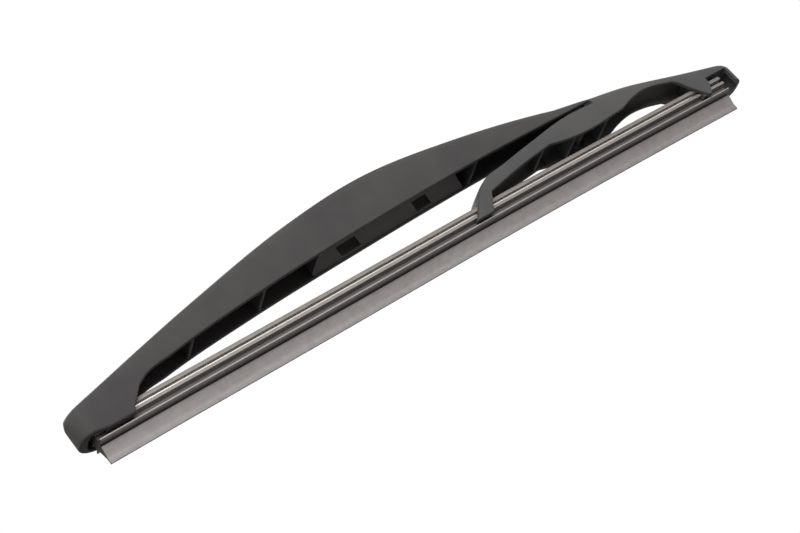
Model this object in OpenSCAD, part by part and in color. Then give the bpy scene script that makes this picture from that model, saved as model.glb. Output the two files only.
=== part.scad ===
// Rear window wiper blade. A moulded main yoke holds one end of the rubber refill in its end cap,
// and a rocking lever under its tip holds the middle and the other end. Two steel flexors lie in
// the sides of the refill.
// X runs along the blade, +Z points away from the glass and the blade is mirrored about Y = 0,
// apart from one slanted rib. The origin is the middle of the pin that the wiper arm hooks on.
// The modules work from the left end of the refill (X) and its shoulder ridge (Z), and
// from_arm_pin() then moves each piece to the origin.

/* [Refill] */
// Length of the rubber refill
refill_length = 250; // [240:1:290]
// Width of the head and of the shoulder below it
head_width = 8.3; // [8:0.1:8.6]
// Thickness of the flange above the flexors
upper_flange = 1.25; // [1:0.05:1.8]
// Thickness of the flange below the flexors
lower_flange = 1; // [0.8:0.1:1.3]
// Height of the groove that the claws run in
claw_groove = 1.75; // [1.5:0.05:2]
// Width of the neck between the claw grooves
neck_width = 4.6; // [3.8:0.1:5]
// Height of the wiping lip under its hinge web
lip_height = 5.35; // [4:0.1:7]
// Width of the lip where it meets the web
lip_root_width = 3.2; // [2.4:0.1:4]
// Thickness of the lip at the wiping edge
lip_edge = 0.65; // [0.5:0.05:1]
// Rise of the middle of the refill when nothing presses on it
free_bow = 0.7; // [0:0.1:0.8]

/* [Flexors] */
// Thickness of a flexor strip
flexor_thickness = 1; // [0.7:0.05:1.1]
// Width of a flexor strip
flexor_width = 2.1; // [1.8:0.05:2.4]
// How far a strip lies inside the head's side
flexor_recess = 0.9; // [0.1:0.1:1.1]
// How far each strip stops short of the rubber's ends
flexor_setback = 6.8; // [0.5:0.1:8]
// Play of a strip in its slot, all round
flexor_play = 0.03; // [0.02:0.01:0.08]

/* [Claws] */
// Gap between the claws and the rubber
claw_clearance = 0.3; // [0.2:0.05:0.4]
// Thickness of the lip that a claw turns in under the head
claw_lip = 1.05; // [0.8:0.05:1.1]
// Length of the main yoke's closed end cap along the refill
end_cap_length = 12.4; // [9:0.1:18]

/* [Main yoke] */
// Height of the back over the shoulder ridge, at the arm pin
arch_height = 33.3; // [29:0.1:38]
// Height of the back at the end cap
cap_height = 11.2; // [10:0.2:13]
// Depth of the channel under the back, at the arm pin
channel_depth = 16.2; // [15:0.1:18]
// Width over the walls at the arm pocket
middle_width = 16.4; // [14.8:0.1:18]
// Width over the walls at the end cap
cap_width = 12.4; // [12:0.1:13]
// Thickness of the side walls
side_wall = 1.6; // [1.3:0.1:1.9]
// Thickness of the back
back_wall = 1.6; // [1.3:0.1:2.2]
// Radius of the long edges of the back
back_radius = 3.5; // [2:0.1:4.5]
// Thickness of the ribs across the channels
rib_thickness = 1.2; // [0.8:0.1:1.8]

/* [Arm pocket] */
// Distance from the left end of the refill to the arm pin
arm_pin_x = 117; // [112:1:122]
// Depth of the arm pin's axis under the back
arm_pin_drop = 7.8; // [6:0.2:9]
// Diameter of the arm pin
arm_pin_diameter = 5; // [4:0.1:6]
// Length of the pocket's opening in the back
pocket_length = 46; // [38:1:50]
// Width of the pocket's opening
pocket_width = 9.2; // [8:0.1:9.8]
// Thickness of the pocket's floor
pocket_floor = 1.5; // [1:0.1:2]

/* [Pivot] */
// Distance from the pivot to the right end of the refill
pivot_setback = 55; // [51:1:59]
// Height of the pivot's axis over the shoulder ridge
pivot_height = 14.3; // [14:0.1:15]
// Diameter of the pin that is moulded across the lever
pivot_diameter = 4; // [3:0.1:4.6]
// Radial running clearance of the pin in the yoke's ears
pivot_clearance = 0.05; // [0.02:0.01:0.09]
// Wall of the ears round the pin
ear_wall = 1.3; // [1:0.1:1.6]
// Thickness of one ear
ear_thickness = 1.8; // [1.2:0.1:2.4]

/* [Lever] */
// Length of the arm from the pivot to the inner claw
inner_arm_length = 55.6; // [52:0.1:59]
// Width over the lever's walls at the pivot
lever_width = 14.8; // [14:0.1:15.4]
// Width over the lever's walls at its claws
lever_end_width = 12; // [11.8:0.1:12.6]
// Thickness of the lever's walls and back
lever_wall = 1.5; // [1.2:0.1:1.7]
// Play between the lever and the yoke's tip
tip_gap = 0.75; // [0.6:0.05:1]

/* [Hidden] */
$fn = 64;

PLASTIC = [0.33, 0.33, 0.33];
LEVER_PLASTIC = [0.37, 0.37, 0.38];
RUBBER = [0.56, 0.54, 0.52];
STEEL = [0.82, 0.79, 0.76];

pivot_x = refill_length - pivot_setback;

// Section of the refill, from the shoulder ridge up and from the ridge down
groove_floor = 0.45;
flange_low = groove_floor + claw_groove;
slot_low = flange_low + lower_flange;
slot_high = slot_low + flexor_thickness + 2 * flexor_play;
head_top = slot_high + upper_flange;
slot_floor = head_width / 2 - flexor_recess - flexor_width - flexor_play;
web_top = -0.8;
web_half = 0.5;
root_top = -1.05;
root_low = root_top - 0.4;
lip_tip = root_top - lip_height;
lip_taper = root_top - 0.65 * lip_height;

// Claws: the space for the head and the turned-in lips
head_room = head_width / 2 + claw_clearance;
roof_low = head_top + claw_clearance;
claw_top = flange_low - claw_clearance + 0.05;
claw_bottom = claw_top - claw_lip;
lip_reach = neck_width / 2 + claw_clearance;
embed = 0.6;

// Main yoke
cap_end = -4.8;
cap_inside = -1.9 - claw_clearance;
cap_corner = 5.3;
cap_inside_corner = 3.2;
cap_top_corner = 2;
tip_x = pivot_x + 5.4;
tip_low = pivot_height + 4.5;
tip_height = tip_low + 0.7;
step_height = tip_height + 0.85;
shoulder_x = lerp(arm_pin_x, tip_x, 0.4);
edge_chamfer = 0.4;
crown = 0.35;
draft = 0.015;
back_knots = [[cap_end, cap_height], [50, lerp(cap_height, arch_height, 0.575)],
    [arm_pin_x - 32, arch_height - 2.8], [arm_pin_x, arch_height],
    [shoulder_x, arch_height - 3.2],
    [lerp(shoulder_x, tip_x, 0.68), lerp(arch_height - 3.2, tip_height, 0.6)], [tip_x, tip_height]];
leg_top = end_cap_length + 5.9;
middle_low = arch_height - channel_depth;
low_knots = [[leg_top, 7.8], [leg_top + 2.9, 9.3], [leg_top + 13, 11], [67, lerp(11, middle_low, 0.607)],
    [arm_pin_x - 9, middle_low], [shoulder_x, tip_low - 0.2], [tip_x, tip_low]];
width_knots = [[cap_end, cap_width / 2], [30, cap_width / 2 + 0.7], [arm_pin_x - 25, middle_width / 2],
    [arm_pin_x + 20, middle_width / 2], [tip_x, lever_width / 2 + 0.1]];
yoke_rib_stations = [40, 67.4, shoulder_x + 2.7];

// Arm pocket
arm_pin_z = arch_height - arm_pin_drop;
pocket_left = arm_pin_x - pocket_length / 2 - 2;
pocket_right = pocket_left + pocket_length;
pocket_corner = 3;
pocket_end_wall = 4;
slant = 7;
window_length = 9;
window_width = 6.4;

// Pivot
ear_radius = pivot_diameter / 2 + pivot_clearance + ear_wall;
lever_inside = lever_width / 2 - lever_wall;
ear_outside = lever_inside - 0.35;
snap_share = 0.82;

// Lever
claw_left = pivot_x - inner_arm_length;
claw_foot = 6.3;
arm_root = claw_left + 10.4;
lever_top_height = pivot_height + 3.8;
step_x = tip_x + tip_gap;
outer_start = pivot_x + 9;
outer_leg = refill_length - 17.5;
lever_end = refill_length + 7.2;
lever_corner = 1.2;
end_corner = 4.5;
end_wall = 1.7;
claw_toe = refill_length - 9.4;
window_left = refill_length - 6.1;
window_right = refill_length + 3.4;
window_top = roof_low + 0.9;
foot_right = window_left - 2;
lever_top_knots = [[claw_left + 6.5, 9.6], [claw_left + 11.4, 12.6],
    [claw_left + 20.6, 14.15], [pivot_x - 22, 16.05], [pivot_x - 5, lever_top_height], [step_x, lever_top_height - 0.3]];
outer_top_knots = [[step_x, step_height], [outer_at(0.51), 17.8], [outer_at(1.18), 13.3],
    [lever_end - 2.5, 9]];
inner_low_knots = [[arm_root, 7.8], [lerp(arm_root, pivot_x - 17.5, 0.54), 10.4],
    [pivot_x - 17.5, 11.85]];
outer_low_knots = [[pivot_x - 17.5, 11.85], [pivot_x - 11, 10.5], [pivot_x - 1, 9.7],
    [outer_start, 10.35], [outer_at(0.18), 10.9], [outer_at(0.33), 12.2], [outer_at(0.56), 13.3],
    [outer_at(0.77), 12.8], [outer_leg, 11.1]];
lever_width_knots = [[claw_left, lever_end_width / 2], [pivot_x - 18, lever_width / 2],
    [pivot_x + 15, lever_width / 2], [outer_leg, lever_end_width / 2 + 0.2],
    [lever_end, lever_end_width / 2]];
lever_rib_stations = [pivot_x - 19.5, pivot_x - 14.8, pivot_x - 7, pivot_x + 7.5];

function lerp(a, b, f) = a + (b - a) * f;

// Place along the lever's outer arm, from the pivot's bulge (0) to the claw leg (1)
function outer_at(f) = lerp(outer_start, outer_leg, f);

// Rise of the refill's free bow at a place along it
function bow(x) = free_bow * (1 - pow(2 * x / refill_length - 1, 2));

// Chord slope after knot i, and the slope of the smooth line at knot i
function chord(k, i) = (k[i + 1][1] - k[i][1]) / (k[i + 1][0] - k[i][0]);
function span(k, i) = k[i + 1][0] - k[i][0];
function knot_slope(k, i) =
    i == 0 ? chord(k, 0) :
    i == len(k) - 1 ? chord(k, i - 1) :
    (span(k, i - 1) * chord(k, i) + span(k, i) * chord(k, i - 1)) / (span(k, i - 1) + span(k, i));

// Smooth line through knots of [x, value], held level past its ends
function smooth(k, x, i = 0) =
    x <= k[0][0] ? k[0][1] :
    x >= k[len(k) - 1][0] ? k[len(k) - 1][1] :
    x > k[i + 1][0] ? smooth(k, x, i + 1) :
    let (h = span(k, i), t = (x - k[i][0]) / h)
        (1 + 2 * t) * pow(1 - t, 2) * k[i][1] + t * pow(1 - t, 2) * h * knot_slope(k, i)
        + t * t * (3 - 2 * t) * k[i + 1][1] + t * t * (t - 1) * h * knot_slope(k, i + 1);

// How far a corner of radius r has drawn in, at a distance from its end face
function drawn_in(distance, r) = distance >= r ? 0 : r - sqrt(r * r - pow(r - max(distance, 0), 2));

// Lines of the main yoke, by x
function yoke_top(x) = smooth(back_knots, x) - drawn_in(x - cap_end, cap_top_corner);
function yoke_half(x) = smooth(width_knots, x) - drawn_in(x - cap_end, cap_corner);
function yoke_low(x) =
    x < end_cap_length ? claw_bottom + lookup(x, [[cap_end, 1.3], [cap_end + 4.5, 0.8], [4, 0]]) :
    x < leg_top ? lookup(x, [[end_cap_length, claw_bottom], [end_cap_length + 0.8, claw_bottom + 1.6],
        [leg_top, low_knots[0][1]]]) :
    smooth(low_knots, x);

// Lines of the lever, by x
function lever_top(x) =
    x < claw_left + 6.5 ? lookup(x, [[claw_left, claw_bottom + bow(claw_left) + 0.2],
        [claw_left + 6.5, lever_top_knots[0][1]]]) :
    x <= step_x ? smooth(lever_top_knots, x) :
    smooth(outer_top_knots, x) - drawn_in(lever_end - x, 2.5);
function lever_half(x) = smooth(lever_width_knots, x) - drawn_in(lever_end - x, end_corner);
function lever_low(x) =
    x < arm_root ? lookup(x, [[claw_left + claw_foot, claw_bottom + bow(claw_left + claw_foot)],
        [arm_root, inner_low_knots[0][1]]]) :
    x < pivot_x - 17.5 ? smooth(inner_low_knots, x) :
    x < outer_leg ? smooth(outer_low_knots, x) :
    lookup(x, [[outer_leg, outer_low_knots[8][1]], [outer_leg + 1.8, 9.6], [outer_leg + 3.7, 6.6],
        [claw_toe, claw_bottom]]) + 0.4 * drawn_in(lever_end - x, 1.8);

// Even steps from a to b, both ends included
function steps(a, b, n) = [for (i = [0:n]) lerp(a, b, i / n)];

// Arc of [y, z] points about a centre
function arc(centre, r, from, to, n) =
    [for (a = steps(from, to, n)) centre + r * [cos(a), sin(a)]];

// Outside of a channel: [y, z] points from the near lower edge, over the back, to the far one
function outside(half, low, top, corner) =
    let (
        ch = min(edge_chamfer, (top - low) / 4),
        r = min(corner, half - 0.8, top - low - ch - 0.1),
        h = half - draft * (top - low),
        flat = h - r
    )
    concat(
        [[-half + ch, low], [-half, low + ch]],
        arc([-flat, top - r], r, 180, 90, 6),
        [for (f = [-0.6, 0, 0.6]) [f * flat, top + crown * (1 - f * f)]],
        arc([flat, top - r], r, 90, 0, 6),
        [[half, low + ch], [half - ch, low]]
    );

// Inside of a channel: the same from well below its lower edges up to its ceiling
function inside(half, low, top, corner) =
    let (r = min(corner, half - 0.5))
    concat([[-half, low]], arc([-half + r, top - r], r, 180, 90, 4),
        arc([half - r, top - r], r, 90, 0, 4), [[half, low]]);

module from_arm_pin() {
    translate([-arm_pin_x, 0, -arm_pin_z]) children();
}

// Solid through sections of [y, z] points, one at each place in xs
module loft(xs, sections) {
    n = len(sections[0]);
    last = len(xs) - 1;
    points = [for (i = [0:last]) for (p = sections[i]) [xs[i], p[0], p[1]]];
    sides = [
        for (i = [0:last - 1])
        for (j = [0:n - 1])
        let (a = i * n + j, b = i * n + (j + 1) % n)
        each [[a, b, b + n], [a, b + n, a + n]]
    ];
    near_end = [for (j = [n - 1:-1:0]) j];
    far_end = [for (j = [0:n - 1]) last * n + j];
    polyhedron(points, concat([near_end], sides, [far_end]));
}

// Plate that stands in the XZ plane, from y to y + thickness
module plate(y, thickness) {
    translate([0, y + thickness, 0]) rotate([90, 0, 0]) linear_extrude(thickness) children();
}

// Box given by its lowest and highest corners
module block(low, high) {
    translate(low) cube(high - low);
}

// The pair of turned-in lips that hold the refill under its lower flange
module claw_lips(from, to, wall_face) {
    rise = bow((from + to) / 2);
    lead = 0.35;
    profile = [[lip_reach + lead, claw_bottom], [wall_face + embed, claw_bottom],
        [wall_face + embed, claw_top], [lip_reach, claw_top], [lip_reach, claw_bottom + lead]];
    for (side = [0, 1])
        mirror([0, side, 0])
            translate([from, 0, rise]) rotate([90, 0, 90]) linear_extrude(to - from) polygon(profile);
}

module main_yoke_shell() {
    cap_xs = [for (f = steps(0, 1, 8)) cap_end + cap_corner * (1 - cos(90 * f))];
    leg_xs = concat([4, end_cap_length, end_cap_length + 0.8], steps(end_cap_length + 2, leg_top, 4));
    arch_xs = steps(leg_top + 1.5, tip_x, 36);
    xs = concat(cap_xs, leg_xs, arch_xs);
    nose_xs = [for (f = steps(0, 1, 6)) cap_inside + cap_inside_corner * (1 - cos(90 * f))];
    hollow_xs = concat(nose_xs, [6], steps(end_cap_length, tip_x + 1, 32));
    difference() {
        loft(xs, [for (x = xs) outside(yoke_half(x), yoke_low(x), yoke_top(x), back_radius)]);
        loft(hollow_xs, [for (x = hollow_xs)
            inside(smooth(width_knots, x) - side_wall - drawn_in(x - cap_inside, cap_inside_corner),
                claw_bottom - 4, smooth(back_knots, x) - back_wall, back_radius - side_wall)]);
    }
}

// Rib across a channel, let into both walls and the back
module cross_rib(x, half, low, ceiling) {
    block([x - rib_thickness / 2, -half - embed, low + 0.3],
        [x + rib_thickness / 2, half + embed, ceiling + embed]);
}

// Solid that fills the channel where the arm pocket is, with a rounded left end
module pocket_block() {
    left = pocket_left - pocket_end_wall;
    half = middle_width / 2 - side_wall + embed;
    right = pocket_right + pocket_end_wall + slant;
    side_view = concat([for (x = steps(left, right, 6)) [x, yoke_low(x) + 0.4]],
        [for (x = steps(right, left, 6)) [x, yoke_top(x) - back_wall + embed]]);
    intersection() {
        plate(-half, 2 * half) polygon(side_view);
        linear_extrude(arch_height) {
            for (y = [-half + 4, half - 4]) translate([left + 4, y]) circle(4);
            polygon([[left, 4 - half], [left + 4, -half], [right - slant, -half], [right, half],
                [left + 4, half], [left, half - 4]]);
        }
    }
}

// Space inside the arm pocket, open through the back
module pocket_space() {
    half = pocket_width / 2;
    r = pocket_corner;
    side_view = concat(
        [for (x = steps(pocket_left, pocket_right, 5)) [x, yoke_low(x) + 0.4 + pocket_floor]],
        [[pocket_right, arch_height + 5], [pocket_left, arch_height + 5]]);
    intersection() {
        plate(-half, 2 * half) polygon(side_view);
        linear_extrude(arch_height + 5) {
            for (x = [pocket_left + r, pocket_right - r], y = [r - half, half - r])
                translate([x, y]) circle(r);
            translate([pocket_left + r, -half]) square([pocket_length - 2 * r, 2 * half]);
            translate([pocket_left, r - half]) square([pocket_length, 2 * half - 2 * r]);
        }
    }
}

// Windows in the pocket's floor, under the two ends of the arm hook
module floor_windows() {
    for (x = [pocket_left + 5, pocket_right - 5 - window_length]) {
        above = yoke_low(x + window_length) + 0.4 + pocket_floor + 0.5;
        block([x, -window_width / 2, yoke_low(x) - 3], [x + window_length, window_width / 2, above]);
    }
}

// Ears that snap over the lever's pin
module pivot_ears() {
    ceiling = yoke_top(pivot_x) - back_wall + embed;
    bore = pivot_diameter / 2 + pivot_clearance;
    for (y = [-ear_outside, ear_outside - ear_thickness])
        plate(y, ear_thickness) difference() {
            union() {
                translate([pivot_x, pivot_height]) circle(ear_radius);
                translate([pivot_x - ear_radius, pivot_height])
                    square([2 * ear_radius, ceiling - pivot_height]);
            }
            translate([pivot_x, pivot_height]) circle(bore);
            translate([pivot_x - snap_share * bore, pivot_height - 2 * ear_radius])
                square([2 * snap_share * bore, 2 * ear_radius]);
        }
}

// Roof over the head of the refill in the end cap, narrower in the cap's nose
module cap_roof(half) {
    nose = cap_inside - 0.8;
    translate([0, 0, roof_low]) linear_extrude(1.3)
        polygon([[nose, -2.2], [-0.6, -half], [end_cap_length, -half], [end_cap_length, half],
            [-0.6, half], [nose, 2.2]]);
}

module main_yoke() {
    inner = cap_width / 2 - side_wall;
    color(PLASTIC) from_arm_pin() {
        difference() {
            union() {
                main_yoke_shell();
                pocket_block();
                for (x = yoke_rib_stations)
                    cross_rib(x, smooth(width_knots, x) - side_wall, yoke_low(x), yoke_top(x) - back_wall);
            }
            pocket_space();
            floor_windows();
        }
        plate(-pocket_width / 2 - embed, pocket_width + 2 * embed)
            translate([arm_pin_x, arm_pin_z]) circle(d = arm_pin_diameter);
        cap_roof(inner + embed);
        claw_lips(3, end_cap_length - 0.4, inner);
        pivot_ears();
    }
}

module lever_shell() {
    leg_xs = steps(claw_left, arm_root, 8);
    inner_xs = steps(arm_root + 3, step_x, 20);
    outer_xs = steps(step_x + 0.1, outer_leg, 12);
    cap_xs = concat([outer_leg + 1.8, outer_leg + 3.7, claw_toe],
        steps(claw_toe + 2, lever_end - end_corner - 0.5, 3));
    end_xs = [for (f = steps(0, 1, 8)) lever_end - end_corner * (1 - sin(90 * f))];
    xs = concat(leg_xs, inner_xs, outer_xs, cap_xs, end_xs);
    hollow_xs = concat(steps(claw_left - 1, step_x, 18), steps(step_x + 1.6, claw_toe - 0.6, 10));
    difference() {
        loft(xs, [for (x = xs) outside(lever_half(x), lever_low(x), lever_top(x),
            x <= step_x ? lever_corner : back_radius - 0.7)]);
        loft(hollow_xs, [for (x = hollow_xs)
            inside(smooth(lever_width_knots, x) - lever_wall, claw_bottom - 4,
                lever_top(x) - lever_wall, 1.6)]);
    }
}

// Room for the end of the refill, rounded like the outside of the end cap
module end_cap_room() {
    right = lever_end - end_wall;
    r = end_corner - end_wall;
    translate([0, 0, claw_bottom - 4]) linear_extrude(roof_low - claw_bottom + 4) {
        for (y = [r - head_room, head_room - r])
            translate([right - r, y]) circle(r);
        polygon([[claw_toe - 4, -head_room], [right - r, -head_room], [right - r, head_room],
            [claw_toe - 4, head_room]]);
        polygon([[right - r, r - head_room], [right, r - head_room], [right, head_room - r],
            [right - r, head_room - r]]);
    }
}

// Window in both walls of the end cap, with the end claw's foot cut back below it
module end_windows() {
    plate(-lever_width, 2 * lever_width)
        polygon([[window_left, window_top], [window_left, claw_bottom + 3.9],
            [foot_right, claw_bottom - 0.1], [foot_right, claw_bottom - 4],
            [window_right, claw_bottom - 4], [window_right, window_top]]);
}

module lever() {
    end_inside = lever_end_width / 2 - lever_wall;
    inner_rise = bow(claw_left + claw_foot / 2);
    color(LEVER_PLASTIC) from_arm_pin() {
        difference() {
            union() {
                lever_shell();
                for (x = lever_rib_stations)
                    cross_rib(x, smooth(lever_width_knots, x) - lever_wall, lever_low(x),
                        lever_top(x) - lever_wall);
            }
            // Room for the head of the refill in both claws
            block([claw_left - 1, -head_room, claw_bottom - 4],
                [arm_root - 1.5, head_room, roof_low + inner_rise]);
            end_cap_room();
            end_windows();
            // Slot in the back for the yoke's ears
            block([pivot_x - ear_radius - 0.8, -lever_inside, pivot_height],
                [pivot_x + ear_radius + 0.8, lever_inside, step_height]);
        }
        plate(-lever_inside - embed, 2 * (lever_inside + embed))
            translate([pivot_x, pivot_height]) circle(d = pivot_diameter);
        claw_lips(claw_left + 0.5, claw_left + claw_foot - 0.3, head_room);
        claw_lips(claw_toe - 1.4, foot_right, head_room);
    }
}

// Half of the rubber's section as [y, height], from the head's top down to the wiping edge
function rubber_half() =
    let (h = head_width / 2, root = lip_root_width / 2)
    [
        [h - 0.3, head_top], [h, head_top - 0.3], [h, slot_high],
        [slot_floor, slot_high], [slot_floor, slot_low], [h, slot_low],
        [h, flange_low + 0.2], [h - 0.2, flange_low], [neck_width / 2, flange_low],
        [neck_width / 2, groove_floor + 0.3], [neck_width / 2 + 0.3, groove_floor],
        [h - 0.35, 0.25], [h - 0.05, 0.1], [h, -0.1], [h - 0.15, -0.3],
        [0.6 * h, -0.6], [web_half + 0.3, web_top], [web_half, root_top],
        [root - 0.15, root_top], [root, root_top - 0.15], [root, root_low],
        [0.6 * root, lerp(root_low, lip_taper, 0.5)], [lip_edge / 2 + 0.03, lip_taper],
        [lip_edge / 2, lip_tip]
    ];

// The rubber is extruded a little long and cut off square at both ends
module rubber() {
    half = rubber_half();
    last = len(half) - 1;
    spare = 2;
    xs = concat([-spare], steps(0, refill_length, 16), [refill_length + spare]);
    color(RUBBER) from_arm_pin() difference() {
        loft(xs, [for (x = xs) [
            for (i = [0:last]) [-half[last - i][0], half[last - i][1] + bow(x)],
            for (i = [0:last]) [half[i][0], half[i][1] + bow(x)]
        ]]);
        for (x = [-2 * spare, refill_length])
            block([x, -head_width, -2 * lip_height], [x + 2 * spare, head_width, 2 * head_top]);
    }
}

// Strip in one side slot of the refill: side is 1 for the near slot and 0 for the far one
module flexor(side) {
    xs = steps(flexor_setback, refill_length - flexor_setback, 16);
    low = slot_low + flexor_play;
    near = slot_floor + flexor_play;
    far = near + flexor_width;
    color(STEEL) from_arm_pin() mirror([0, side, 0])
        loft(xs, [for (x = xs) [
            [near, low + bow(x)], [near, low + flexor_thickness + bow(x)],
            [far, low + flexor_thickness + bow(x)], [far, low + bow(x)]
        ]]);
}

module flexor_near() {
    flexor(1);
}

module flexor_far() {
    flexor(0);
}

main_yoke();
lever();
rubber();
flexor_near();
flexor_far();
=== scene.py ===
"""Looks of a rear wiper blade: moulded yoke and lever, graphited refill, steel strips and a white studio."""

import logging
import math
from dataclasses import dataclass
from enum import Enum

import bmesh
import bpy
from mathutils import Matrix, Vector


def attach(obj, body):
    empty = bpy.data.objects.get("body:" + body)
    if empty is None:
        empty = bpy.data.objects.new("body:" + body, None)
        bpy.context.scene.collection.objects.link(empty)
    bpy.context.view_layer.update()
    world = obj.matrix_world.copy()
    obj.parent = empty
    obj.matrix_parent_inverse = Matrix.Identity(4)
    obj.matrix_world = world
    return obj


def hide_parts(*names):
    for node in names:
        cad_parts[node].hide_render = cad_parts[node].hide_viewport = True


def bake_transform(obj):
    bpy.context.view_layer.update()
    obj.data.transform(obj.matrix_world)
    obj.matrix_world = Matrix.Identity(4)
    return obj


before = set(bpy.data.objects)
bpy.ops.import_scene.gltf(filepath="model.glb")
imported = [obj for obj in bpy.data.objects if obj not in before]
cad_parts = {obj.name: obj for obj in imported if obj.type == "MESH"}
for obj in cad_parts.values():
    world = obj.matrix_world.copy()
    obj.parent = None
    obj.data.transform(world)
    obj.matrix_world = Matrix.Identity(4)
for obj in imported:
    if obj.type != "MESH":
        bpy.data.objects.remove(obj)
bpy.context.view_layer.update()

LOG = logging.getLogger("wiper_blade")

MM = 0.001
# The middle of the arm pin, from the refill's left end and over its shoulder ridge, in millimetres
ARM_PIN_X = 117.0
ARM_PIN_Z = 25.5
# The lever's pin, in the same terms
PIVOT_X = 195.0
PIVOT_Z = 14.3
# Flat sides of a round pin
PIN_SIDES = 48
YOKE = "yoke"
LEVER = "rocking_lever"

Pair = tuple[float, float]
Corner = tuple[float, float, float]
Ring = list[Pair]


class Cut(Enum):
    """How one solid acts on another."""

    REMOVE = "DIFFERENCE"
    ADD = "UNION"
    KEEP = "INTERSECT"


class Side(Enum):
    """Side of the blade, by the sign of its Y."""

    NEAR = -1.0
    FAR = 1.0


# Lines and points


def row_point(x: float, y: float, z: float) -> Vector:
    """Turns a place on the blade into the row frame.

    Args:
        x: Millimetres from the refill's left end.
        y: Millimetres across the blade.
        z: Millimetres over the refill's shoulder ridge.

    Returns:
        The point in metres from the middle of the arm pin.
    """
    return Vector(((x - ARM_PIN_X) * MM, y * MM, (z - ARM_PIN_Z) * MM))


def lerp(a: float, b: float, share: float) -> float:
    """Returns the value at a share of the way from a to b."""
    return a + (b - a) * share


def steps(a: float, b: float, count: int) -> list[float]:
    """Returns count + 1 even values from a to b."""
    return [lerp(a, b, i / count) for i in range(count + 1)]


def drawn_in(distance: float, radius: float) -> float:
    """Returns how far a rounded corner has drawn in at a distance from its end face."""
    if distance >= radius:
        return 0.0
    return radius - math.sqrt(radius**2 - (radius - max(distance, 0.0)) ** 2)


def nose_steps(end: float, radius: float, count: int) -> list[float]:
    """Returns places that crowd towards the end face of a rounded end.

    Args:
        end: Place of the end face.
        radius: Radius of the end, negative where the piece lies to the left of its end face.
        count: Number of steps.

    Returns:
        Places from the end face inwards.
    """
    return [end + radius * (1 - math.cos(math.radians(90 * t))) for t in steps(0, 1, count)]


@dataclass(frozen=True)
class SmoothLine:
    """Smooth line through knots of place and value, held level past its ends."""

    knots: tuple[Pair, ...]

    def _chord(self, i: int) -> float:
        """Returns the slope from knot i to the next one."""
        (x0, v0), (x1, v1) = self.knots[i], self.knots[i + 1]
        return (v1 - v0) / (x1 - x0)

    def _slope(self, i: int) -> float:
        """Returns the slope of the line at knot i."""
        last = len(self.knots) - 1
        if i in (0, last):
            return self._chord(0 if i == 0 else last - 1)
        before = self.knots[i][0] - self.knots[i - 1][0]
        after = self.knots[i + 1][0] - self.knots[i][0]
        return (before * self._chord(i) + after * self._chord(i - 1)) / (before + after)

    def at(self, x: float) -> float:
        """Returns the line's value at place x."""
        if x <= self.knots[0][0]:
            return self.knots[0][1]
        if x >= self.knots[-1][0]:
            return self.knots[-1][1]
        i = max(k for k in range(len(self.knots) - 1) if self.knots[k][0] <= x)
        (x0, v0), (x1, v1) = self.knots[i], self.knots[i + 1]
        h = x1 - x0
        t = (x - x0) / h
        return (
            (1 + 2 * t) * (1 - t) ** 2 * v0
            + t * (1 - t) ** 2 * h * self._slope(i)
            + t * t * (3 - 2 * t) * v1
            + t * t * (t - 1) * h * self._slope(i + 1)
        )


def soften(corners: list[Corner], fine: int = 4) -> Ring:
    """Rounds the inner corners of an open line.

    Args:
        corners: First value, second value and radius of each corner.
        fine: Steps in each rounded corner.

    Returns:
        The points of the rounded line.
    """
    line: Ring = []
    last = len(corners) - 1
    for i, (a, b, radius) in enumerate(corners):
        here = Vector((a, b))
        if radius <= 0 or i in (0, last):
            line.append((a, b))
            continue
        back = Vector(corners[i - 1][:2]) - here
        ahead = Vector(corners[i + 1][:2]) - here
        half = back.angle(ahead) / 2
        reach = min(radius / math.tan(half), 0.48 * back.length, 0.48 * ahead.length)
        start = here + back.normalized() * reach
        end = here + ahead.normalized() * reach
        for t in steps(0.0, 1.0, fine):
            p = start * (1 - t) ** 2 + here * 2 * t * (1 - t) + end * t * t
            line.append((p.x, p.y))
    return line


@dataclass(frozen=True)
class BentEdge:
    """Straight stretches of a side view with softened corners of place, height and radius."""

    corners: tuple[Corner, ...]

    def points(self, fine: int = 4) -> Ring:
        """Returns the edge's pairs of place and height, with so many steps in each softened corner."""
        return soften(list(self.corners), fine)

    def at(self, x: float) -> float:
        """Returns the edge's height at place x."""
        line = self.points()
        for (x0, z0), (x1, z1) in zip(line, line[1:]):
            if x0 <= x <= x1 and x1 > x0:
                return lerp(z0, z1, (x - x0) / (x1 - x0))
        return line[0][1] if x < line[0][0] else line[-1][1]


def quarter(centre: Pair, radius: float, start: float, end: float, fine: int) -> Ring:
    """Returns the points of an arc.

    Args:
        centre: Middle of the arc.
        radius: Its radius.
        start: First angle in degrees.
        end: Last angle in degrees.
        fine: Number of steps.

    Returns:
        The arc's points, in order.
    """
    return [
        (centre[0] + radius * math.cos(math.radians(a)), centre[1] + radius * math.sin(math.radians(a)))
        for a in steps(start, end, fine)
    ]


def round_plan(left: float, right: float, half: float, radius: float, fine: int) -> Ring:
    """Returns the plan of a box with rounded corners.

    Args:
        left: Place of its left side.
        right: Place of its right side.
        half: Half of its width.
        radius: Radius of its corners.
        fine: Steps in each corner.

    Returns:
        The plan's (x, y) points.
    """
    centres = (
        (right - radius, half - radius, 0),
        (left + radius, half - radius, 90),
        (left + radius, radius - half, 180),
        (right - radius, radius - half, 270),
    )
    return [p for x, y, start in centres for p in quarter((x, y), radius, start, start + 90, fine)]


# Solids


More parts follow.
